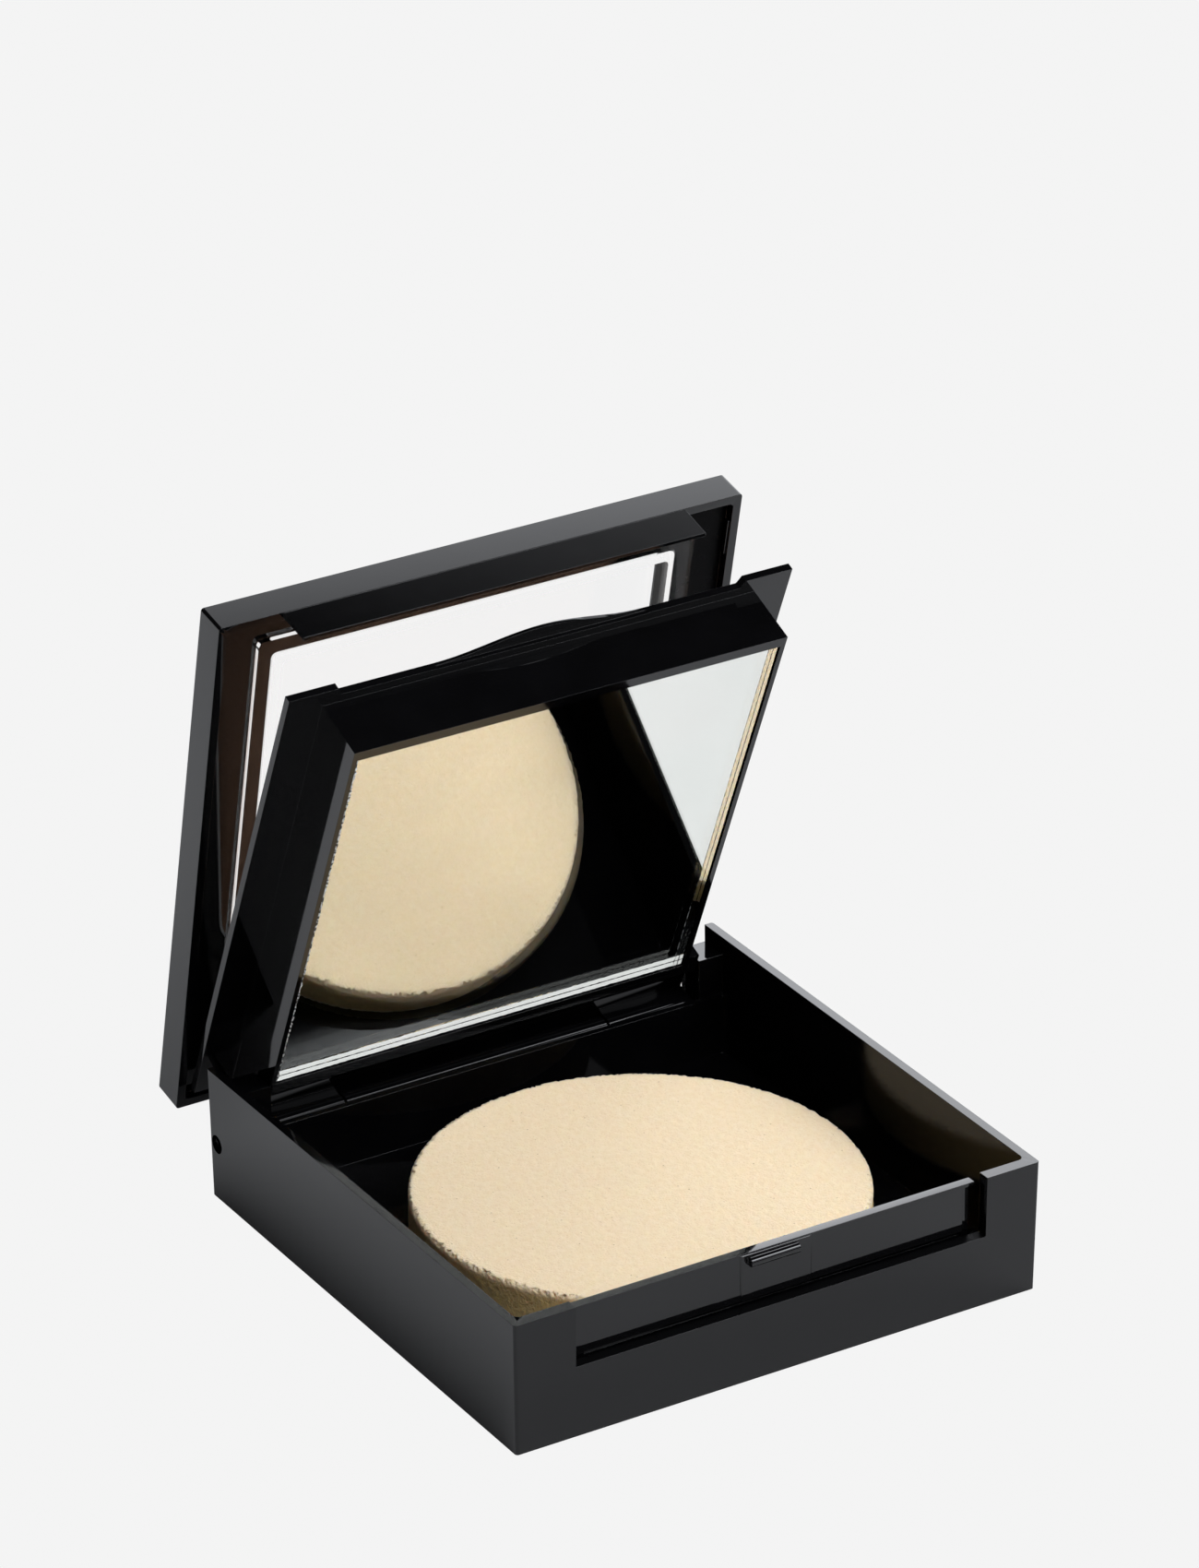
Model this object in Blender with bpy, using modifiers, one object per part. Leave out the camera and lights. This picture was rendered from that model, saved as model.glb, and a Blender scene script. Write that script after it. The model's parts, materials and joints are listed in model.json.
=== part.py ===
"""Powder compact: a square tray with a puff, a hinged mirror leaf holding the powder, and a lid with a window.

Metres, +Z up. The origin is the middle of the tray's underside, +X runs to the right along the front
edge and -Y is the front, where the lid's flap closes over the catch. Every moving piece is drawn in its
closed place and turned about the hinge pin by an empty, so all the numbers below describe the shut compact.
"""

import math

import bmesh
import bpy

MM = 0.001

# The case
HALF = 37.5 * MM  # half the side of the square case
WALL = 1.2 * MM
FRONT_WALL = 1.7 * MM
DRAFT = 0.25 * MM  # how far the tray's underside is drawn in on each side
FLOOR = 1.5 * MM
BASE_TOP = 17.95 * MM
CORNER = 0.4 * MM  # radius of the case's upright edges
GAP = 0.3 * MM  # room between pieces that lie against each other
FILM_GAP = 0.1 * MM  # room between the thin layers behind the mirror and under the pan

# The hinge, along X
PIN_Y = 35.6 * MM
PIN_Z = 7.9 * MM
PIN_R = 1.0 * MM
BORE_R = 1.1 * MM
WALL_HOLE_R = 1.25 * MM
KNUCKLE_R = 1.9 * MM
BLOCK_LEFT = -30.8 * MM  # inner face of the left hinge block
BLOCK_RIGHT = 32.7 * MM
BLOCK_FRONT = 33.1 * MM
BLOCK_TOP = 15.5 * MM
LID_KNUCKLE = (-19.1 * MM, 19.5 * MM)
LEAF_ANGLE = math.radians(67.42)  # how far the leaf stands open
LID_ANGLE = math.radians(78.14)

# Tray details
PARTITION = (32.4 * MM, 33.4 * MM)
PARTITION_TOP = 9.9 * MM
REAR_WALL_TOP = 4.9 * MM
NOTCH_X = (-28.95 * MM, 29.75 * MM)
NOTCH_SILL = 9.7 * MM
LATCH_HALF = 28.6 * MM
LATCH_Y = (-35.1 * MM, -34.1 * MM)
LATCH_TOP = 16.6 * MM
LATCH_SLOT = (9.2 * MM, 10.1 * MM)
LATCH_RIM_HALF = 29.3 * MM  # the plate's top rim, wider than the plate
LATCH_RIM = 0.5 * MM
PANEL_X = (-28.3 * MM, 27.6 * MM)
PANEL_FRONT = -35.4 * MM
TONGUE_X = (-4.55 * MM, 5.5 * MM)
CATCH_X = (-3.6 * MM, 3.4 * MM)
CATCH_PLACE = (-35.9 * MM, 15.55 * MM)
CATCH_R = 0.65 * MM

# Leaf
FLANGE_HALF = 35.88 * MM
FLANGE_Z = (16.83 * MM, 17.86 * MM)
FLANGE_FRONT = -34.5 * MM
FLANGE_REAR = 36.0 * MM
EAR_FRONT = -35.6 * MM
EAR_INNER = 29.0 * MM
LIFT_FRONT = -36.4 * MM
LIFT_HALF = 15.0 * MM
LIFT_UNDER = 17.4 * MM
HOUSING_HALF = 30.85 * MM
HOUSING_FRONT = -33.24 * MM
HOUSING_REAR = 29.3 * MM
HOUSING_BOTTOM = 8.5 * MM
WEB_BOTTOM = 10.2 * MM
FLARE_Y = 27.3 * MM  # behind this the housing widens to the right hinge block
MIRROR_HALF = 30.0 * MM
MIRROR_Y = (-31.58 * MM, 27.35 * MM)
GLASS_Z = (8.75 * MM, 10.45 * MM)
SILVER_T = 0.15 * MM
TAPE_T = 0.25 * MM
TAPE_MARGIN = 4.0 * MM
DECK_T = 1.1 * MM  # the leaf's wall between the mirror and the pan
PAN_HALF = 29.3 * MM
PAN_Y = (-30.9 * MM, 20.4 * MM)
PAN_TOP = 17.45 * MM
PAN_CORNER = 4.0 * MM
PAN_WALL = 0.35 * MM
GLUE_T = 0.25 * MM
GLUE_HALF = 20.0 * MM
CAKE_TOP = 17.25 * MM

# Lid
LID_Z = (18.15 * MM, 22.8 * MM)
LID_FLOOR = 19.4 * MM
WINDOW_HALF = (29.1 * MM, 30.8 * MM)
BORDER_HALF = (31.4 * MM, 33.3 * MM)
BORDER_Z = (18.55 * MM, 19.3 * MM)
PANE_T = 1.2 * MM
WINDOW_WALL = 1.1 * MM
FLAP_X = (-28.5 * MM, 29.0 * MM)
FLAP_FRONT = -37.42 * MM
FLAP_BACK = -36.55 * MM
FLAP_BOTTOM = 13.1 * MM
FLAP_LEAN = 0.35 * MM  # how far the flap's face slopes in towards its lower edge
SKIRT_X = (-30.3 * MM, 32.2 * MM)
SKIRT_BOTTOM = 10.25 * MM

# Puff
PUFF_R = 29.0 * MM
PUFF_CENTRE = (2.3 * MM, -1.5 * MM)
PUFF_Z = (1.8 * MM, 8.2 * MM)

EDGE = 0.25 * MM  # rounding of the moulded edges


def clear_scene():
    for thing in list(bpy.data.objects):
        bpy.data.objects.remove(thing, do_unlink=True)


def new_collection(name):
    collection = bpy.data.collections.new(name)
    bpy.context.scene.collection.children.link(collection)
    return collection


def material(name, colour, roughness, metallic=0.0):
    made = bpy.data.materials.new(name)
    made.use_nodes = True
    shader = made.node_tree.nodes["Principled BSDF"]
    shader.inputs["Base Color"].default_value = (*colour, 1.0)
    shader.inputs["Roughness"].default_value = roughness
    shader.inputs["Metallic"].default_value = metallic
    return made


def mesh_object(name, mesh, collection):
    made = bpy.data.objects.new(name, mesh)
    collection.objects.link(made)
    return made


def box_mesh(name, x, y, z, corner=0.0, segments=4):
    """A box between two corners, with its upright edges rounded when corner is given."""
    bm = bmesh.new()
    bmesh.ops.create_cube(bm, size=1.0)
    low = (x[0], y[0], z[0])
    size = (x[1] - x[0], y[1] - y[0], z[1] - z[0])
    for vert in bm.verts:
        vert.co = [low[i] + (vert.co[i] + 0.5) * size[i] for i in range(3)]
    if corner:
        upright = [e for e in bm.edges if abs(e.verts[0].co.z - e.verts[1].co.z) > size[2] / 2]
        bmesh.ops.bevel(bm, geom=upright, offset=corner, segments=segments, profile=0.5, affect="EDGES")
    mesh = bpy.data.meshes.new(name)
    bm.to_mesh(mesh)
    bm.free()
    return mesh


def rod_mesh(name, radius, x, y, z, sides=32):
    """A round rod along X."""
    bm = bmesh.new()
    bmesh.ops.create_cone(
        bm, cap_ends=True, segments=sides, radius1=radius, radius2=radius, depth=x[1] - x[0]
    )
    for vert in bm.verts:
        along, side = vert.co.z, vert.co.x
        vert.co = ((x[0] + x[1]) / 2 + along, y + side, z + vert.co.y)
    mesh = bpy.data.meshes.new(name)
    bm.to_mesh(mesh)
    bm.free()
    return mesh


class Piece:
    """One moulded piece: its object, and the helpers that its Boolean modifiers cut or join."""

    def __init__(self, name, mesh, look, pivot=None):
        self.pivot = pivot
        self.body = self.place(mesh_object(name, mesh, PARTS))
        mesh.materials.append(look)
        self.helpers = 0

    def place(self, made):
        if self.pivot:
            made.parent = self.pivot
            made.location = (0.0, -PIN_Y, -PIN_Z)
        return made

    def boolean(self, operation, mesh):
        self.helpers += 1
        helper = self.place(mesh_object(f"{self.body.name}_{operation.lower()}_{self.helpers}", mesh, CUTTERS))
        helper.hide_render = True
        helper.display_type = "WIRE"
        step = self.body.modifiers.new(helper.name, "BOOLEAN")
        step.operation = operation
        step.solver = "EXACT"
        step.object = helper

    def cut(self, x, y, z, corner=0.0):
        self.boolean("DIFFERENCE", box_mesh("cut", x, y, z, corner))

    def join(self, x, y, z, corner=0.0):
        self.boolean("UNION", box_mesh("join", x, y, z, corner))

    def bore(self, radius, x):
        self.boolean("DIFFERENCE", rod_mesh("bore", radius, x, PIN_Y, PIN_Z))

    def knuckle(self, x):
        self.boolean("UNION", rod_mesh("knuckle", KNUCKLE_R, x, PIN_Y, PIN_Z))

    def round_edges(self, width=EDGE, segments=2):
        step = self.body.modifiers.new("edges", "BEVEL")
        step.width = width
        step.segments = segments
        step.limit_method = "ANGLE"
        step.angle_limit = math.radians(40)


def pivot_empty(name, angle, parent=None):
    """An empty on the hinge pin, turned open by angle."""
    made = bpy.data.objects.new(name, None)
    PARTS.objects.link(made)
    if parent:
        made.parent = parent
    else:
        made.location = (0.0, PIN_Y, PIN_Z)
    made.rotation_euler.x = -angle
    return made


def build_base_tray(look):
    inner = HALF - WALL
    above = BASE_TOP + 5 * MM
    block = box_mesh("base_tray", (-HALF, HALF), (-HALF, HALF), (0, BASE_TOP), CORNER)
    for vert in block.vertices:
        if vert.co.z < BASE_TOP / 2:
            vert.co.x -= math.copysign(DRAFT, vert.co.x)
            vert.co.y -= math.copysign(DRAFT, vert.co.y)
    tray = Piece("base_tray", block, look)
    tray.cut((-inner, inner), (-HALF + FRONT_WALL, PARTITION[0]), (FLOOR, above), 0.8 * MM)
    tray.cut((BLOCK_LEFT, BLOCK_RIGHT), (PARTITION[1], inner), (FLOOR, above))
    tray.cut((BLOCK_LEFT, BLOCK_RIGHT), (PARTITION[1] + MM, HALF + 2 * MM), (REAR_WALL_TOP, above))
    tray.cut((BLOCK_LEFT, BLOCK_RIGHT), (PARTITION[0] - MM, PARTITION[1] + MM), (PARTITION_TOP, above))
    tray.cut((-inner, inner), (BLOCK_FRONT, HALF + 2 * MM), (BLOCK_TOP, above))
    tray.cut((-inner, inner), (PARTITION[0] - MM, BLOCK_FRONT), (PARTITION_TOP, above))
    tray.cut(NOTCH_X, (-HALF - MM, -HALF + FRONT_WALL + MM), (NOTCH_SILL, above))
    tray.round_edges()
    tray.bore(BORE_R, (-HALF + WALL / 2, BLOCK_RIGHT + 2.6 * MM))
    tray.bore(WALL_HOLE_R, (-HALF - MM, -HALF + WALL))


def build_latch_plate(look):
    """The springy plate behind the notch: a raised panel, a slot under it, a top rim and the catch."""
    heights = (FLOOR + GAP, LATCH_TOP - LATCH_RIM / 2)
    plate = Piece("latch_plate", box_mesh("latch_plate", (-LATCH_HALF, LATCH_HALF), LATCH_Y, heights), look)
    panel_depth = (PANEL_FRONT, LATCH_Y[0] + 0.5 * MM)
    plate.join(PANEL_X, panel_depth, (NOTCH_SILL - MM, LATCH_TOP - LATCH_RIM / 2))
    plate.join((-LATCH_RIM_HALF, LATCH_RIM_HALF), (PANEL_FRONT, LATCH_Y[1]), (LATCH_TOP - LATCH_RIM, LATCH_TOP))
    plate.join(TONGUE_X, (PANEL_FRONT - 0.1 * MM, panel_depth[1]), (LATCH_SLOT[1], LATCH_TOP - LATCH_RIM / 2))
    plate.cut((-LATCH_HALF + 2 * MM, PANEL_X[1]), (PANEL_FRONT - MM, LATCH_Y[0] + 0.6 * MM), LATCH_SLOT)
    plate.boolean("UNION", rod_mesh("catch", CATCH_R, CATCH_X, *CATCH_PLACE, 24))
    plate.round_edges(0.08 * MM, 1)


def build_hinge_pin(look):
    ends = (-HALF + 1.0 * MM, BLOCK_RIGHT + 2.4 * MM)
    pin = Piece("hinge_pin", rod_mesh("hinge_pin", PIN_R, ends, PIN_Y, PIN_Z, 32), look)
    pin.round_edges(0.15 * MM, 2)


def leaf_outline():
    """The flange's front edge from left to right: an ear, the straight lip, the finger lift, lip and ear."""
    lift = []
    steps = 20
    for i in range(steps + 1):
        x = -LIFT_HALF + 2 * LIFT_HALF * i / steps
        rise = 0.5 * (1 + math.cos(math.pi * x / LIFT_HALF))
        lift.append((x, FLANGE_FRONT + (LIFT_FRONT - FLANGE_FRONT) * rise))
    left = [(-FLANGE_HALF, EAR_FRONT), (-EAR_INNER, EAR_FRONT), (-EAR_INNER + 0.6 * MM, FLANGE_FRONT)]
    right = [(-x, y) for x, y in reversed(left)]
    return left + lift + right + [(FLANGE_HALF, FLANGE_REAR), (-FLANGE_HALF, FLANGE_REAR)]


def flat_mesh(name, outline, z):
    """A filled outline with a thickness, made from a 2D curve."""
    curve = bpy.data.curves.new(name, "CURVE")
    curve.dimensions = "2D"
    curve.fill_mode = "BOTH"
    curve.extrude = (z[1] - z[0]) / 2
    spline = curve.splines.new("POLY")
    spline.points.add(len(outline) - 1)
    for point, (x, y) in zip(spline.points, outline):
        point.co = (x, y, 0.0, 1.0)
    spline.use_cyclic_u = True
    holder = mesh_object(name + "_curve", curve, CUTTERS)
    depsgraph = bpy.context.evaluated_depsgraph_get()
    mesh = bpy.data.meshes.new_from_object(holder.evaluated_get(depsgraph))
    bpy.data.objects.remove(holder)
    bm = bmesh.new()
    bm.from_mesh(mesh)
    bmesh.ops.remove_doubles(bm, verts=bm.verts, dist=0.00001)
    bmesh.ops.dissolve_limit(bm, angle_limit=0.01, verts=bm.verts, edges=bm.edges)
    for vert in bm.verts:
        vert.co.z += (z[0] + z[1]) / 2
    bm.to_mesh(mesh)
    bm.free()
    mesh.name = name
    return mesh


def build_leaf_frame(look, pivot):
    deck = mirror_stack()["deck"]
    frame = Piece("leaf_frame", flat_mesh("leaf_frame", leaf_outline(), FLANGE_Z), look, pivot)
    housing_top = FLANGE_Z[0] + 0.5 * MM
    frame.cut((-LIFT_HALF, LIFT_HALF), (LIFT_FRONT - MM, FLANGE_FRONT + 0.1 * MM), (FLANGE_Z[0] - MM, LIFT_UNDER))
    frame.join((-HOUSING_HALF, HOUSING_HALF), (HOUSING_FRONT, FLARE_Y), (HOUSING_BOTTOM, housing_top))
    left, right = BLOCK_LEFT + GAP, BLOCK_RIGHT - GAP
    frame.join((left, right), (FLARE_Y - MM, HOUSING_REAR), (HOUSING_BOTTOM, housing_top))
    frame.join((left, right), (HOUSING_REAR - MM, FLANGE_REAR), (WEB_BOTTOM, housing_top))
    for ends in ((left, LID_KNUCKLE[0] - 0.4 * MM), (LID_KNUCKLE[1] + 0.4 * MM, right)):
        frame.join(ends, (PIN_Y - KNUCKLE_R + 0.3 * MM, FLANGE_REAR), (PIN_Z + 0.2 * MM, WEB_BOTTOM + MM))
        frame.knuckle(ends)
    frame.cut(
        (-MIRROR_HALF - 0.15 * MM, MIRROR_HALF + 0.15 * MM),
        (MIRROR_Y[0] - 0.15 * MM, MIRROR_Y[1] + 0.15 * MM),
        (HOUSING_BOTTOM - MM, deck),
    )
    frame.cut(
        (-PAN_HALF - GAP, PAN_HALF + GAP),
        (PAN_Y[0] - GAP, PAN_Y[1] + GAP),
        (deck + DECK_T, FLANGE_Z[1] + MM),
        PAN_CORNER,
    )
    frame.bore(BORE_R, (left - MM, right + MM))
    frame.round_edges(0.15 * MM, 2)


def mirror_stack():
    """Heights of the layers in the leaf, from the mirror glass up to the powder pan."""
    silver = GLASS_Z[1] + FILM_GAP
    tape = silver + SILVER_T + FILM_GAP
    deck = tape + TAPE_T + FILM_GAP
    glue = deck + DECK_T + FILM_GAP
    pan = glue + GLUE_T + FILM_GAP
    return {"silver": silver, "tape": tape, "deck": deck, "glue": glue, "pan": pan}


def build_mirror(glass, silver, tape, pivot):
    stack = mirror_stack()
    across = (-MIRROR_HALF, MIRROR_HALF)
    Piece("mirror_glass", box_mesh("mirror_glass", across, MIRROR_Y, GLASS_Z), glass, pivot)
    heights = (stack["silver"], stack["silver"] + SILVER_T)
    Piece("mirror_silvering", box_mesh("mirror_silvering", across, MIRROR_Y, heights), silver, pivot)
    across = (-MIRROR_HALF + TAPE_MARGIN, MIRROR_HALF - TAPE_MARGIN)
    along = (MIRROR_Y[0] + TAPE_MARGIN, MIRROR_Y[1] - TAPE_MARGIN)
    heights = (stack["tape"], stack["tape"] + TAPE_T)
    Piece("mirror_tape", box_mesh("mirror_tape", across, along, heights, MM), tape, pivot)


def build_powder(pan_look, glue_look, cake_look, pivot):
    stack = mirror_stack()
    middle = (PAN_Y[0] + PAN_Y[1]) / 2
    glue = box_mesh(
        "pan_glue",
        (-GLUE_HALF, GLUE_HALF),
        (middle - GLUE_HALF, middle + GLUE_HALF),
        (stack["glue"], stack["glue"] + GLUE_T),
        2 * MM,
    )
    Piece("pan_glue", glue, glue_look, pivot)
    outer = box_mesh("powder_pan", (-PAN_HALF, PAN_HALF), PAN_Y, (stack["pan"], PAN_TOP), PAN_CORNER, 8)
    pan = Piece("powder_pan", outer, pan_look, pivot)
    x = (-PAN_HALF + PAN_WALL, PAN_HALF - PAN_WALL)
    y = (PAN_Y[0] + PAN_WALL, PAN_Y[1] - PAN_WALL)
    pan.boolean(
        "DIFFERENCE",
        box_mesh("cut", x, y, (stack["pan"] + PAN_WALL, PAN_TOP + MM), PAN_CORNER - PAN_WALL, 8),
    )
    x = (x[0] + FILM_GAP, x[1] - FILM_GAP)
    y = (y[0] + FILM_GAP, y[1] - FILM_GAP)
    heights = (stack["pan"] + PAN_WALL + FILM_GAP, CAKE_TOP)
    cake_mesh = box_mesh("powder_cake", x, y, heights, PAN_CORNER - PAN_WALL - FILM_GAP, 8)
    cake = Piece("powder_cake", cake_mesh, cake_look, pivot)
    cake.round_edges(0.3 * MM, 2)


def build_lid_frame(look, pivot):
    inner = HALF - WALL
    lid = Piece("lid_frame", box_mesh("lid_frame", (-HALF, HALF), (-HALF, HALF), LID_Z, CORNER), look, pivot)
    below = LID_Z[0] - 5 * MM
    lid.cut((-inner, inner), (-inner, inner), (below, LID_FLOOR), 0.6 * MM)
    lid.cut(
        (-WINDOW_HALF[0], WINDOW_HALF[0]), (-WINDOW_HALF[1], WINDOW_HALF[1]), (below, LID_Z[1] + MM), 0.8 * MM
    )
    for side in (-1, 1):
        ends = sorted((side * (inner - 0.25 * MM), side * (inner + 0.3 * MM)))
        lid.join(ends, (-33.4 * MM, -28.4 * MM), (LID_Z[0] + 0.35 * MM, LID_FLOOR - 0.1 * MM))
    flap = box_mesh("flap", FLAP_X, (FLAP_FRONT, FLAP_BACK), (FLAP_BOTTOM, LID_Z[0] + 0.6 * MM))
    for vert in flap.vertices:
        if vert.co.z < LID_Z[0] and vert.co.y < (FLAP_FRONT + FLAP_BACK) / 2:
            vert.co.y += FLAP_LEAN
    lid.boolean("UNION", flap)
    lid.join(SKIRT_X, (inner, HALF), (SKIRT_BOTTOM, LID_Z[0] + 0.6 * MM))
    lid.join(LID_KNUCKLE, (inner, HALF), (PIN_Z, SKIRT_BOTTOM + MM))
    groove = (CATCH_PLACE[1] - CATCH_R - 0.3 * MM, CATCH_PLACE[1] + CATCH_R + 0.3 * MM)
    lid.cut((CATCH_X[0] - GAP, CATCH_X[1] + GAP), (FLAP_BACK - 0.25 * MM, FLAP_BACK + MM), groove)
    lid.round_edges(0.2 * MM, 2)
    lid.knuckle(LID_KNUCKLE)
    lid.bore(BORE_R, (LID_KNUCKLE[0] - MM, LID_KNUCKLE[1] + MM))


def build_lid_window(look, pivot):
    border = box_mesh(
        "lid_window",
        (-BORDER_HALF[0], BORDER_HALF[0]),
        (-BORDER_HALF[1], BORDER_HALF[1]),
        BORDER_Z,
        0.8 * MM,
    )
    window = Piece("lid_window", border, look, pivot)
    x = WINDOW_HALF[0] - 0.2 * MM
    y = WINDOW_HALF[1] - 0.2 * MM
    top = LID_Z[1] - 0.15 * MM
    window.join((-x, x), (-y, y), (BORDER_Z[0] + 0.3 * MM, top), 0.8 * MM)
    x -= WINDOW_WALL
    y -= WINDOW_WALL
    window.cut((-x, x), (-y, y), (BORDER_Z[0] - MM, top - PANE_T), 0.6 * MM)
    window.round_edges(0.1 * MM, 1)


def build_puff(look):
    bm = bmesh.new()
    height = PUFF_Z[1] - PUFF_Z[0]
    bmesh.ops.create_cone(bm, cap_ends=True, segments=96, radius1=PUFF_R, radius2=PUFF_R, depth=height)
    bmesh.ops.translate(bm, vec=(*PUFF_CENTRE, (PUFF_Z[0] + PUFF_Z[1]) / 2), verts=bm.verts)
    mesh = bpy.data.meshes.new("puff")
    bm.to_mesh(mesh)
    bm.free()
    puff = Piece("puff", mesh, look)
    puff.round_edges(0.4 * MM, 2)


def build_compact():
    black = material("gloss_black", (0.008, 0.008, 0.009), 0.12)
    steel = material("steel", (0.55, 0.55, 0.56), 0.3, 1.0)
    leaf_pivot = pivot_empty("leaf_pivot", LEAF_ANGLE)
    lid_pivot = pivot_empty("lid_pivot", LID_ANGLE - LEAF_ANGLE, leaf_pivot)
    build_base_tray(black)
    build_latch_plate(black)
    build_hinge_pin(steel)
    build_puff(material("puff_foam", (0.92, 0.76, 0.55), 0.95))
    build_leaf_frame(black, leaf_pivot)
    build_mirror(
        material("mirror_glass", (0.85, 0.88, 0.87), 0.02),
        material("silvering", (0.9, 0.9, 0.9), 0.03, 1.0),
        material("white_tape", (0.8, 0.8, 0.78), 0.7),
        leaf_pivot,
    )
    build_powder(
        material("pan_aluminium", (0.75, 0.75, 0.76), 0.35, 1.0),
        material("pan_glue", (0.8, 0.78, 0.7), 0.5),
        material("pressed_powder", (0.72, 0.5, 0.36), 0.9),
        leaf_pivot,
    )
    build_lid_frame(black, lid_pivot)
    build_lid_window(material("clear_plastic", (0.95, 0.95, 0.96), 0.04), lid_pivot)


clear_scene()
PARTS = new_collection("powder_compact")
CUTTERS = new_collection("cutters")
build_compact()
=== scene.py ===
"""The powder compact's looks: puff, mirror, powder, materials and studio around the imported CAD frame."""

import json
import math

import bmesh
import bpy
import numpy as np
from mathutils import Matrix, Vector, noise


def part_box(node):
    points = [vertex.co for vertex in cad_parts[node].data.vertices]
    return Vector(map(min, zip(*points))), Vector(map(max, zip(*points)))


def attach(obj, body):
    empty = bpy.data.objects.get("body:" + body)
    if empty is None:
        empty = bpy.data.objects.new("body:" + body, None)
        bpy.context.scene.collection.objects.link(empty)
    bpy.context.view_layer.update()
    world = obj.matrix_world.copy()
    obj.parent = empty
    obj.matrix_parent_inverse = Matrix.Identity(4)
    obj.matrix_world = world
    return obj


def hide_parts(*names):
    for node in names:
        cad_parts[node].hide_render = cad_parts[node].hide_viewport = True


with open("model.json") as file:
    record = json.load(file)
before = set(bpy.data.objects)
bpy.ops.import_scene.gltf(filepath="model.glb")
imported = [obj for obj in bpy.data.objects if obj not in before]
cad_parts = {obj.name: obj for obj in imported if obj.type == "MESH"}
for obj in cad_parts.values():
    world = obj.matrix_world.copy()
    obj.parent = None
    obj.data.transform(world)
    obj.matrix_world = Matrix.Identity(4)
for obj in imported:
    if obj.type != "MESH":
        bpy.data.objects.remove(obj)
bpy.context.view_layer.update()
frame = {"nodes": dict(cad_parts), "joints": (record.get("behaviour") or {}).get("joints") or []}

MM = 0.001
NODES = frame["nodes"]
JOINTS = {joint["name"]: joint for joint in frame["joints"]}
PIN = Vector(JOINTS["leaf_hinge"]["pos_m"])
LEAF_ANGLE = math.radians(-JOINTS["leaf_hinge"]["range_deg"][0])
LID_ANGLE = LEAF_ANGLE + math.radians(-JOINTS["lid_hinge"]["range_deg"][0])
PALE = 0.904  # the background's brightness
LID_INNER_FLOOR = -11.5 * MM  # how far the lid's inner floor lies behind the pin
NOTCH_SILL = 9.7 * MM  # height of the sill of the notch in the tray's front wall
LATCH_EDGE = 0.09 * MM  # width of the broken edges of the latch plate
WINDOW_MERGE = 0.16 * MM  # removes the fine inner step of the window, which shows as a double line
PLAIN_MERGE = 0.002 * MM
PUFF_GRID = 0.28 * MM  # size of the small faces that carry the relief
POWDER_GRID = 0.42 * MM
MIRROR_STEP = 0.4 * MM  # distance between points around the mirror's edge


# Camera and studio

def add_camera():
    """The camera looks down on the compact from the front left."""
    azimuth, elevation, roll = math.radians(-31.40), math.radians(26.376), math.radians(-0.298)
    distance, right_shift, up_shift = 0.93341, -0.0024, 0.0570
    back = Vector((
        math.sin(azimuth) * math.cos(elevation),
        -math.cos(azimuth) * math.cos(elevation),
        math.sin(elevation),
    ))
    level_right = Vector((math.cos(azimuth), math.sin(azimuth), 0.0))
    level_up = back.cross(level_right)
    right = math.cos(roll) * level_right + math.sin(roll) * level_up
    up = back.cross(right)
    data = bpy.data.cameras.new("camera")
    data.sensor_width = 36.0
    data.lens = 171.6
    data.clip_start = 0.05
    data.clip_end = 20.0
    camera = bpy.data.objects.new("camera", data)
    bpy.context.scene.collection.objects.link(camera)
    place = Matrix((right, up, back)).transposed().to_4x4()
    place.translation = back * distance + right * right_shift + up * up_shift
    camera.matrix_world = place
    bpy.context.scene.camera = camera


def seen_directly(tree):
    """1 for rays from the camera, straight or through clear pieces; 0 for reflections and lighting."""
    path = tree.nodes.new("ShaderNodeLightPath")
    seen = tree.nodes.new("ShaderNodeMath")
    seen.operation = "MAXIMUM"
    tree.links.new(path.outputs["Is Camera Ray"], seen.inputs[0])
    tree.links.new(path.outputs["Is Transmission Ray"], seen.inputs[1])
    return seen.outputs[0]


def stage_plane(name, size, place, material):
    mesh = bpy.data.meshes.new(name)
    bm = bmesh.new()
    bmesh.ops.create_grid(bm, x_segments=4, y_segments=4, size=0.5)
    for vert in bm.verts:
        vert.co.x *= size[0]
        vert.co.y *= size[1]
    bm.to_mesh(mesh)
    bm.free()
    mesh.materials.append(material)
    plane = bpy.data.objects.new(name, mesh)
    plane.matrix_world = place
    bpy.context.scene.collection.objects.link(plane)
    return plane


def add_floor():
    """A pale floor. It looks plain behind the object, and lit and shaded in the object's reflections."""
    material = bpy.data.materials.new("pale_floor")
    material.use_nodes = True
    tree = material.node_tree
    tree.nodes.clear()
    out = tree.nodes.new("ShaderNodeOutputMaterial")
    diffuse = tree.nodes.new("ShaderNodeBsdfDiffuse")
    diffuse.inputs["Color"].default_value = (0.77, 0.77, 0.77, 1.0)
    plain = tree.nodes.new("ShaderNodeEmission")
    plain.inputs["Color"].default_value = (PALE, PALE, PALE, 1.0)
    mix = tree.nodes.new("ShaderNodeMixShader")
    tree.links.new(seen_directly(tree), mix.inputs[0])
    tree.links.new(diffuse.outputs[0], mix.inputs[1])
    tree.links.new(plain.outputs[0], mix.inputs[2])
    tree.links.new(mix.outputs[0], out.inputs["Surface"])
    stage_plane("floor", (8.0, 8.0), Matrix.Translation((0.0, 0.0, -0.0002)), material)


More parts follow.
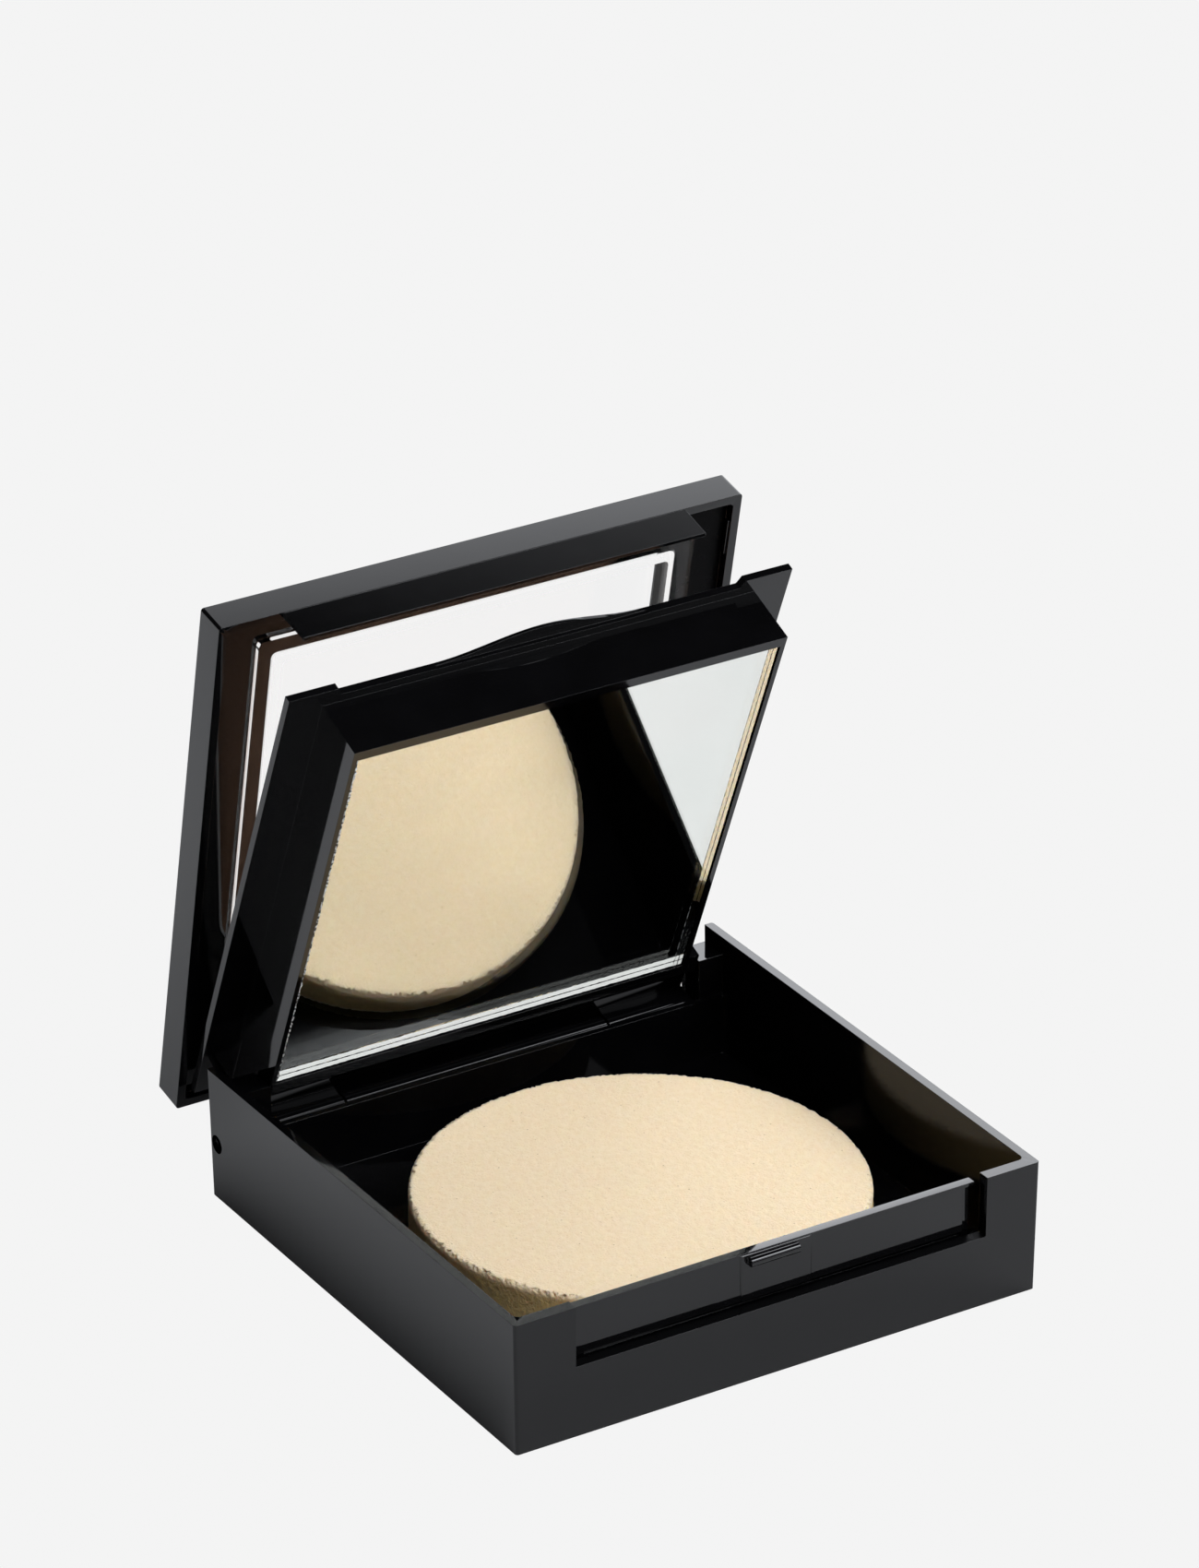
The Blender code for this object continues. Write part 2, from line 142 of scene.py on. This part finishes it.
def add_softbox(name, azimuth, elevation, distance, size, strength, fade):
    """A softbox facing the compact, hidden from the camera. Azimuth runs from +Y towards +X.

    Fade is the part of each half side over which the brightness falls to nothing.
    """
    azimuth, elevation = math.radians(azimuth), math.radians(elevation)
    away = Vector((
        math.sin(azimuth) * math.cos(elevation),
        math.cos(azimuth) * math.cos(elevation),
        math.sin(elevation),
    ))
    place = away.to_track_quat("Z", "Y").to_matrix().to_4x4()
    place.translation = away * distance
    material = bpy.data.materials.new(name)
    material.use_nodes = True
    tree = material.node_tree
    tree.nodes.clear()
    out = tree.nodes.new("ShaderNodeOutputMaterial")
    glow = tree.nodes.new("ShaderNodeEmission")
    glow.inputs["Color"].default_value = (0.965, 0.985, 1.03, 1.0)
    coordinates = tree.nodes.new("ShaderNodeTexCoord")
    split = tree.nodes.new("ShaderNodeSeparateXYZ")
    tree.links.new(coordinates.outputs["Object"], split.inputs[0])
    fades = []
    for axis in (0, 1):
        across = tree.nodes.new("ShaderNodeMath")
        across.operation = "ABSOLUTE"
        tree.links.new(split.outputs[axis], across.inputs[0])
        fall = tree.nodes.new("ShaderNodeMapRange")
        fall.interpolation_type = "SMOOTHSTEP"
        fall.inputs["From Min"].default_value = size[axis] / 2
        fall.inputs["From Max"].default_value = size[axis] / 2 * (1 - fade[axis])
        fall.inputs["To Min"].default_value = 0.0
        fall.inputs["To Max"].default_value = 1.0
        tree.links.new(across.outputs[0], fall.inputs["Value"])
        fades.append(fall.outputs[0])
    power = tree.nodes.new("ShaderNodeMath")
    power.operation = "MULTIPLY"
    tree.links.new(fades[0], power.inputs[0])
    tree.links.new(fades[1], power.inputs[1])
    scale = tree.nodes.new("ShaderNodeMath")
    scale.operation = "MULTIPLY"
    scale.inputs[1].default_value = strength
    tree.links.new(power.outputs[0], scale.inputs[0])
    tree.links.new(scale.outputs[0], glow.inputs["Strength"])
    tree.links.new(glow.outputs[0], out.inputs["Surface"])
    box = stage_plane(name, size, place, material)
    box.visible_camera = False
    box.visible_transmission = False
    box.visible_shadow = False


def add_studio():
    scene = bpy.context.scene
    scene.view_settings.view_transform = "Standard"
    world = bpy.data.worlds.new("studio")
    world.use_nodes = True
    tree = world.node_tree
    room = tree.nodes["Background"]
    room.inputs["Color"].default_value = (0.03, 0.03, 0.032, 1.0)
    plain = tree.nodes.new("ShaderNodeBackground")
    plain.inputs["Color"].default_value = (PALE, PALE, PALE, 1.0)
    mix = tree.nodes.new("ShaderNodeMixShader")
    tree.links.new(seen_directly(tree), mix.inputs[0])
    tree.links.new(room.outputs[0], mix.inputs[1])
    tree.links.new(plain.outputs[0], mix.inputs[2])
    tree.links.new(mix.outputs[0], tree.nodes["World Output"].inputs["Surface"])
    scene.world = world
    add_floor()
    add_softbox("softbox_back", 36.0, 32.0, 1.1, (1.5, 0.9), 4.1, (0.35, 0.88))
    add_softbox("softbox_front", 168.0, 55.0, 1.1, (0.85, 0.85), 6.8, (0.4, 0.4))
    add_softbox("softbox_side", 138.0, 44.0, 1.1, (0.5, 0.42), 9.0, (0.5, 0.5))
    add_softbox("softbox_low", 149.0, 24.0, 1.1, (0.5, 0.3), 1.9, (0.3, 0.5))


# Materials

class Look:
    """A Principled material and the few procedural nodes that the looks below are made from."""

    def __init__(self, name, colour, roughness, metallic=0.0, ior=1.5):
        self.material = bpy.data.materials.new(name)
        self.material.use_nodes = True
        self.tree = self.material.node_tree
        self.shader = self.tree.nodes["Principled BSDF"]
        self.shader.inputs["Base Color"].default_value = (*colour, 1.0)
        self.shader.inputs["Roughness"].default_value = roughness
        self.shader.inputs["Metallic"].default_value = metallic
        self.shader.inputs["IOR"].default_value = ior
        self.coordinates = self.tree.nodes.new("ShaderNodeTexCoord").outputs["Object"]
        self.height = None

    def link(self, output, socket):
        self.tree.links.new(output, socket)

    def noise(self, size, detail=2.0, stretch=(1.0, 1.0, 1.0)):
        """Noise with features about size metres across, drawn out along an axis by stretch."""
        place = self.tree.nodes.new("ShaderNodeMapping")
        place.inputs["Scale"].default_value = [1.0 / (size * s) for s in stretch]
        texture = self.tree.nodes.new("ShaderNodeTexNoise")
        texture.inputs["Scale"].default_value = 1.0
        texture.inputs["Detail"].default_value = detail
        self.link(self.coordinates, place.inputs["Vector"])
        self.link(place.outputs[0], texture.inputs["Vector"])
        return texture.outputs["Fac"]

    def cells(self, size):
        """Distance to the nearest of scattered points about size metres apart."""
        texture = self.tree.nodes.new("ShaderNodeTexVoronoi")
        texture.inputs["Scale"].default_value = 1.0 / size
        self.link(self.coordinates, texture.inputs["Vector"])
        return texture.outputs["Distance"]

    def along(self, axis):
        """The point's place along one axis, in metres; 2 is up in the open compact."""
        split = self.tree.nodes.new("ShaderNodeSeparateXYZ")
        self.link(self.coordinates, split.inputs[0])
        return split.outputs[axis]

    def spread(self, value, low, high, to_low, to_high):
        """Takes value from low..high to to_low..to_high."""
        node = self.tree.nodes.new("ShaderNodeMapRange")
        node.inputs["From Min"].default_value = low
        node.inputs["From Max"].default_value = high
        node.inputs["To Min"].default_value = to_low
        node.inputs["To Max"].default_value = to_high
        self.link(value, node.inputs["Value"])
        return node.outputs[0]

    def blend(self, factor, first, second):
        """Mixes two colours; each is a tuple or another node's output."""
        node = self.tree.nodes.new("ShaderNodeMix")
        node.data_type = "RGBA"
        self.link(factor, node.inputs["Factor"])
        for name, colour in (("A", first), ("B", second)):
            socket = [s for s in node.inputs if s.name == name and s.type == "RGBA"][0]
            if isinstance(colour, tuple):
                socket.default_value = (*colour, 1.0)
            else:
                self.link(colour, socket)
        return [s for s in node.outputs if s.type == "RGBA"][0]

    def colour(self, output):
        self.link(output, self.shader.inputs["Base Color"])

    def roughness(self, output):
        self.link(output, self.shader.inputs["Roughness"])

    def bump(self, output, distance, strength=1.0):
        """Adds relief of the given depth in metres; a second call adds to the first."""
        node = self.tree.nodes.new("ShaderNodeBump")
        node.inputs["Distance"].default_value = distance
        node.inputs["Strength"].default_value = strength
        self.link(output, node.inputs["Height"])
        if self.height:
            self.link(self.height, node.inputs["Normal"])
        self.height = node.outputs[0]
        self.link(self.height, self.shader.inputs["Normal"])


def gloss_black(name, gloss):
    """Polished black plastic; gloss is the specular level, 0.5 for plain plastic."""
    look = Look(name, (0.0014, 0.0014, 0.0016), 0.04)
    look.shader.inputs["Specular IOR Level"].default_value = gloss
    tone = look.spread(look.noise(6 * MM, 3.0), 0.3, 0.7, 0.0, 1.0)
    look.colour(look.blend(tone, (0.0010, 0.0010, 0.0012), (0.0018, 0.0018, 0.0021)))
    look.roughness(look.spread(look.noise(3 * MM, 4.0), 0.3, 0.7, 0.03, 0.06))
    look.bump(look.noise(9 * MM, 1.0), 0.02 * MM, 0.25)
    return look.material


def painted_shade_black():
    """Black that hardly reflects, used to paint shade on places that stay dark whatever they face."""
    look = Look("painted_shade_black_plastic", (0.0012, 0.0012, 0.0014), 0.3)
    look.shader.inputs["Specular IOR Level"].default_value = 0.04
    look.roughness(look.spread(look.noise(1 * MM, 4.0), 0.3, 0.7, 0.25, 0.4))
    look.bump(look.noise(0.2 * MM, 3.0), 0.01 * MM, 0.4)
    return look.material


def shade_dimmed_black():
    """Black with a weak reflection, used as painted shade."""
    look = Look("shade_dimmed_black_plastic", (0.0014, 0.0014, 0.0018), 0.08)
    look.shader.inputs["Specular IOR Level"].default_value = 0.12
    look.roughness(look.spread(look.noise(2 * MM, 4.0), 0.3, 0.7, 0.06, 0.12))
    look.bump(look.noise(9 * MM, 1.0), 0.02 * MM, 0.25)
    return look.material


def foam():
    """Latex foam; light wanders through it. Its cut side is coloured darker and more saturated than the
    two skins as painted shade.
    """
    look = Look("latex_foam", (0.95, 0.79, 0.55), 0.95)
    look.shader.inputs["Subsurface Weight"].default_value = 0.35
    look.shader.inputs["Subsurface Radius"].default_value = (1.0, 0.7, 0.35)
    look.shader.inputs["Subsurface Scale"].default_value = 1.2 * MM
    look.shader.inputs["Sheen Weight"].default_value = 0.08
    look.shader.inputs["Specular IOR Level"].default_value = 0.1
    mottle = look.spread(look.noise(0.9 * MM, 4.0), 0.35, 0.65, 0.0, 1.0)
    base = look.blend(mottle, (0.945, 0.735, 0.475), (0.975, 0.775, 0.53))
    # painted shade in the pores: a darker colour towards each pore's centre
    painted_pore_shade = look.spread(look.cells(0.42 * MM), 0.08, 0.3, 0.0, 1.0)
    skin = look.blend(painted_pore_shade, (0.9, 0.67, 0.41), base)
    # painted shade in the pits: dark spots scattered over the skin
    painted_pit_shade = look.spread(look.cells(1.7 * MM), 0.03, 0.075, 0.0, 1.0)
    skin = look.blend(painted_pit_shade, (0.6, 0.42, 0.22), skin)
    # painted shade: the cut side between the two skins gets a darker, more saturated colour
    side = look.blend(painted_pore_shade, (0.66, 0.44, 0.17), (0.8, 0.57, 0.25))
    low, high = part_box("puff")
    skin_ends, side_starts = 0.35 * MM, 1.1 * MM  # depths below each face of the puff
    top = look.spread(look.along(2), high[2] - side_starts, high[2] - skin_ends, 0.0, 1.0)
    bottom = look.spread(look.along(2), low[2] + skin_ends, low[2] + side_starts, 1.0, 0.0)
    look.colour(look.blend(bottom, look.blend(top, side, skin), skin))
    look.bump(look.cells(0.42 * MM), 0.08 * MM, 0.5)
    look.bump(look.noise(0.24 * MM, 4.0), 0.1 * MM, 0.9)
    return look.material


def pressed_powder():
    look = Look("pressed_powder", (0.84, 0.5, 0.33), 0.95)
    look.shader.inputs["Sheen Weight"].default_value = 0.15
    look.shader.inputs["Specular IOR Level"].default_value = 0.25
    speck = look.spread(look.noise(0.25 * MM, 4.0), 0.35, 0.65, 0.0, 1.0)
    look.colour(look.blend(speck, (0.8, 0.46, 0.3), (0.88, 0.54, 0.36)))
    look.bump(look.noise(0.2 * MM, 3.0), 0.04 * MM, 0.5)
    return look.material


def clear_moulding():
    """The window's plastic. Its index is low, which keeps the window bright and its border calm."""
    look = Look("clear_plastic", (1.0, 1.0, 1.0), 0.0, ior=1.25)
    look.shader.inputs["Transmission Weight"].default_value = 1.0
    look.roughness(look.spread(look.noise(5 * MM, 3.0), 0.4, 0.8, 0.0, 0.02))
    return look.material


def float_glass():
    look = Look("mirror_glass", (0.97, 0.985, 0.98), 0.0, ior=1.52)
    look.shader.inputs["Transmission Weight"].default_value = 1.0
    tint = look.spread(look.noise(20 * MM, 1.0), 0.3, 0.7, 0.0, 1.0)
    look.colour(look.blend(tint, (0.965, 0.985, 0.978), (0.98, 0.99, 0.985)))
    return look.material


def chipped_glass():
    """The mirror's worn left edge: tiny chips with white specks, partly the white of crushed glass and
    partly painted glints, and painted dark between them where the glass is clear.
    """
    look = Look("chipped_glass", (0.95, 0.96, 0.98), 0.2, ior=2.0)
    # painted glints: white specks on the chips, partly the white of crushed glass, with painted dark
    # between them
    crushed_and_glints = look.spread(look.noise(0.45 * MM, 2.0), 0.46, 0.52, 0.0, 1.0)
    look.colour(look.blend(crushed_and_glints, (0.01, 0.01, 0.012), (1.0, 1.0, 1.0)))
    look.shader.inputs["Sheen Weight"].default_value = 0.6
    look.bump(look.noise(0.16 * MM, 2.0), 0.1 * MM, 0.8)
    return look.material


def silver():
    look = Look("silvering", (0.92, 0.92, 0.91), 0.0, 1.0)
    tone = look.spread(look.noise(15 * MM, 2.0), 0.3, 0.7, 0.0, 1.0)
    look.colour(look.blend(tone, (0.9, 0.9, 0.89), (0.93, 0.93, 0.92)))
    return look.material


def drawn_steel():
    look = Look("drawn_steel", (0.5, 0.5, 0.51), 0.3, 1.0)
    scratches = look.noise(0.1 * MM, 2.0, (40.0, 1.0, 1.0))
    look.roughness(look.spread(scratches, 0.3, 0.7, 0.22, 0.4))
    look.bump(scratches, 0.01 * MM, 0.3)
    return look.material


def drawn_aluminium():
    look = Look("drawn_aluminium", (0.72, 0.72, 0.73), 0.35, 1.0)
    grain = look.noise(0.15 * MM, 2.0, (1.0, 20.0, 1.0))
    look.roughness(look.spread(grain, 0.3, 0.7, 0.28, 0.42))
    look.bump(grain, 0.01 * MM, 0.3)
    return look.material


def white_tape():
    look = Look("white_tape", (0.78, 0.78, 0.75), 0.7)
    fibre = look.noise(0.4 * MM, 3.0, (4.0, 1.0, 1.0))
    look.colour(look.blend(fibre, (0.72, 0.72, 0.69), (0.84, 0.84, 0.81)))
    look.bump(fibre, 0.02 * MM, 0.4)
    return look.material


def hot_glue():
    look = Look("hot_glue", (0.75, 0.72, 0.6), 0.35)
    ripple = look.noise(2 * MM, 2.0)
    look.colour(look.blend(ripple, (0.7, 0.66, 0.52), (0.8, 0.77, 0.66)))
    look.bump(ripple, 0.05 * MM, 0.5)
    return look.material


# Pieces

def closed(points, angle):
    """Turns points from rest back to the shut compact."""
    turn = Matrix.Rotation(angle, 3, "X")
    return [turn @ (Vector(p) - PIN) + PIN for p in points]


def closed_box(node, angle):
    """The lowest and highest corners of a CAD node in the shut compact."""
    points = np.array(closed([v.co for v in NODES[node].data.vertices], angle))
    return Vector(points.min(axis=0)), Vector(points.max(axis=0))


def add_piece(name, bm, material, smooth, angle=0.0):
    """Makes a piece from a bmesh that was built in the shut compact, turned open by angle."""
    turn = Matrix.Translation(PIN) @ Matrix.Rotation(-angle, 4, "X") @ Matrix.Translation(-PIN)
    bmesh.ops.transform(bm, matrix=turn, verts=bm.verts)
    bmesh.ops.recalc_face_normals(bm, faces=bm.faces)
    for face in bm.faces:
        face.smooth = smooth
    mesh = bpy.data.meshes.new(name)
    bm.to_mesh(mesh)
    bm.free()
    mesh.materials.append(material)
    piece = bpy.data.objects.new(name, mesh)
    bpy.context.scene.collection.objects.link(piece)
    return piece


def rebuilt(bm, voxel):
    """The same solid with an even skin of small faces, ready for relief."""
    mesh = bpy.data.meshes.new("solid")
    bm.to_mesh(mesh)
    bm.free()
    holder = bpy.data.objects.new("solid", mesh)
    bpy.context.scene.collection.objects.link(holder)
    step = holder.modifiers.new("skin", "REMESH")
    step.mode = "VOXEL"
    step.voxel_size = voxel
    depsgraph = bpy.context.evaluated_depsgraph_get()
    made = bmesh.new()
    made.from_mesh(holder.evaluated_get(depsgraph).to_mesh())
    bpy.data.objects.remove(holder)
    bpy.data.meshes.remove(mesh)
    made.normal_update()
    return made


def smooth_step(value, low, high):
    """0 below low, 1 above high, and a smooth climb between."""
    t = min(max((value - low) / (high - low), 0.0), 1.0)
    return t * t * (3 - 2 * t)


def add_puff():
    """The foam puff: die-cut sides, an open-pored skin and a ragged rim."""
    low, high = (Vector(corner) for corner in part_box("puff"))
    centre = (low + high) / 2
    radius = (high.x - low.x) / 2 - 0.05 * MM
    height = high.z - low.z
    bm = bmesh.new()
    bmesh.ops.create_cone(bm, cap_ends=True, segments=160, radius1=radius, radius2=radius, depth=height)
    rim = [e for e in bm.edges if abs(e.verts[0].co.z - e.verts[1].co.z) < 0.1 * height]
    bmesh.ops.bevel(bm, geom=rim, offset=0.3 * MM, segments=2, profile=0.5, affect="EDGES")
    bmesh.ops.translate(bm, vec=centre, verts=bm.verts)
    bm = rebuilt(bm, PUFF_GRID)
    for vert in bm.verts:
        out = Vector((vert.co.x - centre.x, vert.co.y - centre.y, 0.0))
        rim_gap = math.hypot(radius - out.length, min(high.z - vert.co.z, vert.co.z - low.z))
        near_rim = 1.0 - smooth_step(rim_gap, 0.15 * MM, 0.8 * MM)
        grain = noise.noise(vert.co / (0.6 * MM)) + 0.8 * noise.noise(vert.co / (0.33 * MM))
        dent = max(0.0, noise.noise(vert.co / (0.9 * MM) + Vector((7.0, 3.0, 1.0))) - 0.3)
        chips = max(0.0, grain + 0.05)
        swell = 0.08 * MM * noise.noise(vert.co / (9 * MM))
        vert.co += vert.normal * (0.05 * MM * grain - 0.18 * MM * dent + swell)
        vert.co -= vert.normal * (0.2 * MM * chips * near_rim)
        tooth = max(0.0, noise.noise(vert.co / (0.23 * MM) + Vector((4.0, 8.0, 2.0))))
        at_rim = 1.0 - smooth_step(rim_gap, 0.2 * MM, 0.6 * MM)
        vert.co -= out.normalized() * (1.0 * MM * tooth * at_rim)
    piece = add_piece("foam_puff", bm, foam(), True)
    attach(piece, "puff")
    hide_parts("puff")


def outline_points(low, high, step):
    """Points around a rectangle, about step apart, with the outward direction at each."""
    points = []
    corners = [(low.x, low.y), (high.x, low.y), (high.x, high.y), (low.x, high.y)]
    middle = (low + high) / 2
    for start, end in zip(corners, corners[1:] + corners[:1]):
        start, end = Vector(start), Vector(end)
        count = max(2, round((end - start).length / step))
        for i in range(count):
            point = start.lerp(end, i / count)
            along = (end - start).normalized()
            out = Vector((along.y, -along.x))
            if i == 0:
                out = (point - Vector((middle.x, middle.y))).normalized() * 1.3
            points.append((point, out))
    return points


def rim_solid(points, rings):
    """A slab built from rings, closed top and bottom. A ring gives (inset, z) for a point's index."""
    bm = bmesh.new()
    loops = []
    for ring in rings:
        loop = []
        for i, (point, out) in enumerate(points):
            inset, z = ring(i)
            loop.append(bm.verts.new((point.x - out.x * inset, point.y - out.y * inset, z)))
        loops.append(loop)
    count = len(points)
    for below, above in zip(loops, loops[1:]):
        for i in range(count):
            j = (i + 1) % count
            bm.faces.new((below[i], below[j], above[j], above[i]))
    bm.faces.new(list(reversed(loops[0])))
    bm.faces.new(loops[-1])
    return bm


def add_mirror():
    """The mirror: a glass slab with ground, lightly chipped edges, and silvering on its back."""
    low, high = closed_box("mirror_glass", LEAF_ANGLE)
    points = outline_points(low, high, MIRROR_STEP)

    def at_left(i):
        return points[i][1].x < -0.5

    def chip(i, seed):
        """Wear of the edge at a point: strongest along the left edge, then the hinge edge."""
        point, out = points[i]
        wear = 1.0 if at_left(i) else 0.5 if out.y > 0.5 else 0.2
        return wear * abs(noise.noise(Vector((point.x, point.y, seed * MM)) / (0.6 * MM)))

    def ground(i):
        """Extra width of the front bevel, which only the left edge has."""
        return 0.12 * MM if at_left(i) else 0.0

    rings = (
        lambda i: (0.03 * MM + ground(i) + 0.4 * MM * chip(i, 1), low.z),
        lambda i: (0.0, low.z + 0.04 * MM + ground(i) / 2 + 0.4 * MM * chip(i, 3)),
        lambda i: (0.0, high.z - 0.04 * MM - 0.3 * MM * chip(i, 5)),
        lambda i: (0.03 * MM + 0.3 * MM * chip(i, 6), high.z),
    )
    glass = add_piece("mirror_slab", rim_solid(points, rings), float_glass(), False, LEAF_ANGLE)
    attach(glass, "leaf")
    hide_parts("mirror_glass")
    glass.data.materials.append(chipped_glass())
    for face in glass.data.polygons:
        if -0.98 < face.normal.x < -0.2:  # the bevels of the left edge, but not its side
            face.material_index = 1

    back = high.z + 0.005 * MM
    coat_rings = (
        lambda i: (0.05 * MM + 0.3 * MM * chip(i, 7), back),
        lambda i: (0.05 * MM + 0.3 * MM * chip(i, 7), back + 0.08 * MM),
    )
    coat = add_piece("mirror_backing", rim_solid(points, coat_rings), silver(), False, LEAF_ANGLE)
    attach(coat, "leaf")
    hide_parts("mirror_silvering")


def add_powder():
    """The pressed powder: a softly crowned cake with a pressed weave and crumbly edges."""
    low, high = closed_box("powder_cake", LEAF_ANGLE)
    corner = 3.4 * MM
    bm = bmesh.new()
    bmesh.ops.create_cube(bm, size=1.0)
    for vert in bm.verts:
        vert.co = [low[i] + (vert.co[i] + 0.5) * (high[i] - low[i]) for i in range(3)]
    upright = [e for e in bm.edges if abs(e.verts[0].co.z - e.verts[1].co.z) > 1 * MM]
    bmesh.ops.bevel(bm, geom=upright, offset=corner, segments=10, profile=0.5, affect="EDGES")
    bm = rebuilt(bm, POWDER_GRID)
    thread = 0.32 * MM
    for vert in bm.verts:
        if vert.normal.z < 0.3:
            continue
        edge = min(vert.co.x - low.x, high.x - vert.co.x, vert.co.y - low.y, high.y - vert.co.y)
        sag = 0.35 * MM * (1 - smooth_step(edge, 0.0, 1.2 * MM))
        weave = math.sin(vert.co.x / thread) * math.sin(vert.co.y / thread)
        crumbs = noise.noise(vert.co / (0.6 * MM))
        vert.co.z -= sag + 0.05 * MM * (1 + weave) + 0.05 * MM * abs(crumbs)
    piece = add_piece("powder_tablet", bm, pressed_powder(), True, LEAF_ANGLE)
    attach(piece, "leaf")
    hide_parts("powder_cake")


def finish_node(node, material, merge=PLAIN_MERGE, edge=0.0):
    """Gives a CAD node its material and even shading; edge is the width of its broken edges."""
    thing = NODES[node]
    thing.data.materials.clear()
    thing.data.materials.append(material)
    thing.data.shade_smooth()
    weld = thing.modifiers.new("weld", "WELD")
    weld.merge_threshold = merge
    if edge:
        broken = thing.modifiers.new("broken_edges", "BEVEL")
        broken.width = edge
        broken.segments = 2
        broken.limit_method = "ANGLE"
        broken.angle_limit = math.radians(50)
        broken.use_clamp_overlap = False
        broken.miter_outer = "MITER_ARC"
    split = thing.modifiers.new("sharp", "EDGE_SPLIT")
    split.split_angle = math.radians(46)
    even = thing.modifiers.new("even", "WEIGHTED_NORMAL")
    even.weight = 50


def other_finish(node, material, chosen):
    """Gives the chosen faces of a CAD node another material."""
    thing = NODES[node]
    thing.data.materials.append(material)
    newest = len(thing.data.materials) - 1
    for face in thing.data.polygons:
        if chosen(face):
            face.material_index = newest


def lid_floor_right(face):
    """The right part of the lid's inner floor, given the black that hardly reflects as painted shade."""
    facing = Vector((0.0, -math.sin(LID_ANGLE), -math.cos(LID_ANGLE)))
    height = (face.center - PIN).dot(facing) - LID_INNER_FLOOR
    return face.normal.dot(facing) > 0.999 and abs(height) < 0.3 * MM and face.center.x > 5 * MM


def tray_wall_right(face):
    """The inner face of the tray's right wall, which reflects weakly: its reflection is turned down as
    painted shade.
    """
    return face.normal.x < -0.99 and face.center.x > 30 * MM


def notch_sill(face):
    """The sill of the notch in the tray's front wall, below the latch plate's slot; it gets the black that
    hardly reflects as painted shade.
    """
    above = face.center.z - NOTCH_SILL
    return face.normal.z > 0.99 and face.center.y < -34 * MM and abs(above) < 0.05 * MM


add_camera()
add_studio()

lower_black = gloss_black("lower_black_plastic", 0.42)
upper_black = gloss_black("upper_black_plastic", 0.5)
finish_node("base_tray", lower_black)
finish_node("leaf_frame", lower_black)
finish_node("lid_frame", upper_black)
finish_node("latch_plate", upper_black, edge=LATCH_EDGE)
painted_shade = painted_shade_black()
# painted shade on the right part of the lid's inner floor
other_finish("lid_frame", painted_shade, lid_floor_right)
# painted shade: the tray's right inner wall reflects less
other_finish("base_tray", shade_dimmed_black(), tray_wall_right)
# painted shade on the sill of the notch
other_finish("base_tray", painted_shade, notch_sill)
finish_node("hinge_pin", drawn_steel())
finish_node("lid_window", clear_moulding(), merge=WINDOW_MERGE)
finish_node("powder_pan", drawn_aluminium())
finish_node("mirror_tape", white_tape())
finish_node("pan_glue", hot_glue())
add_puff()
add_mirror()
add_powder()
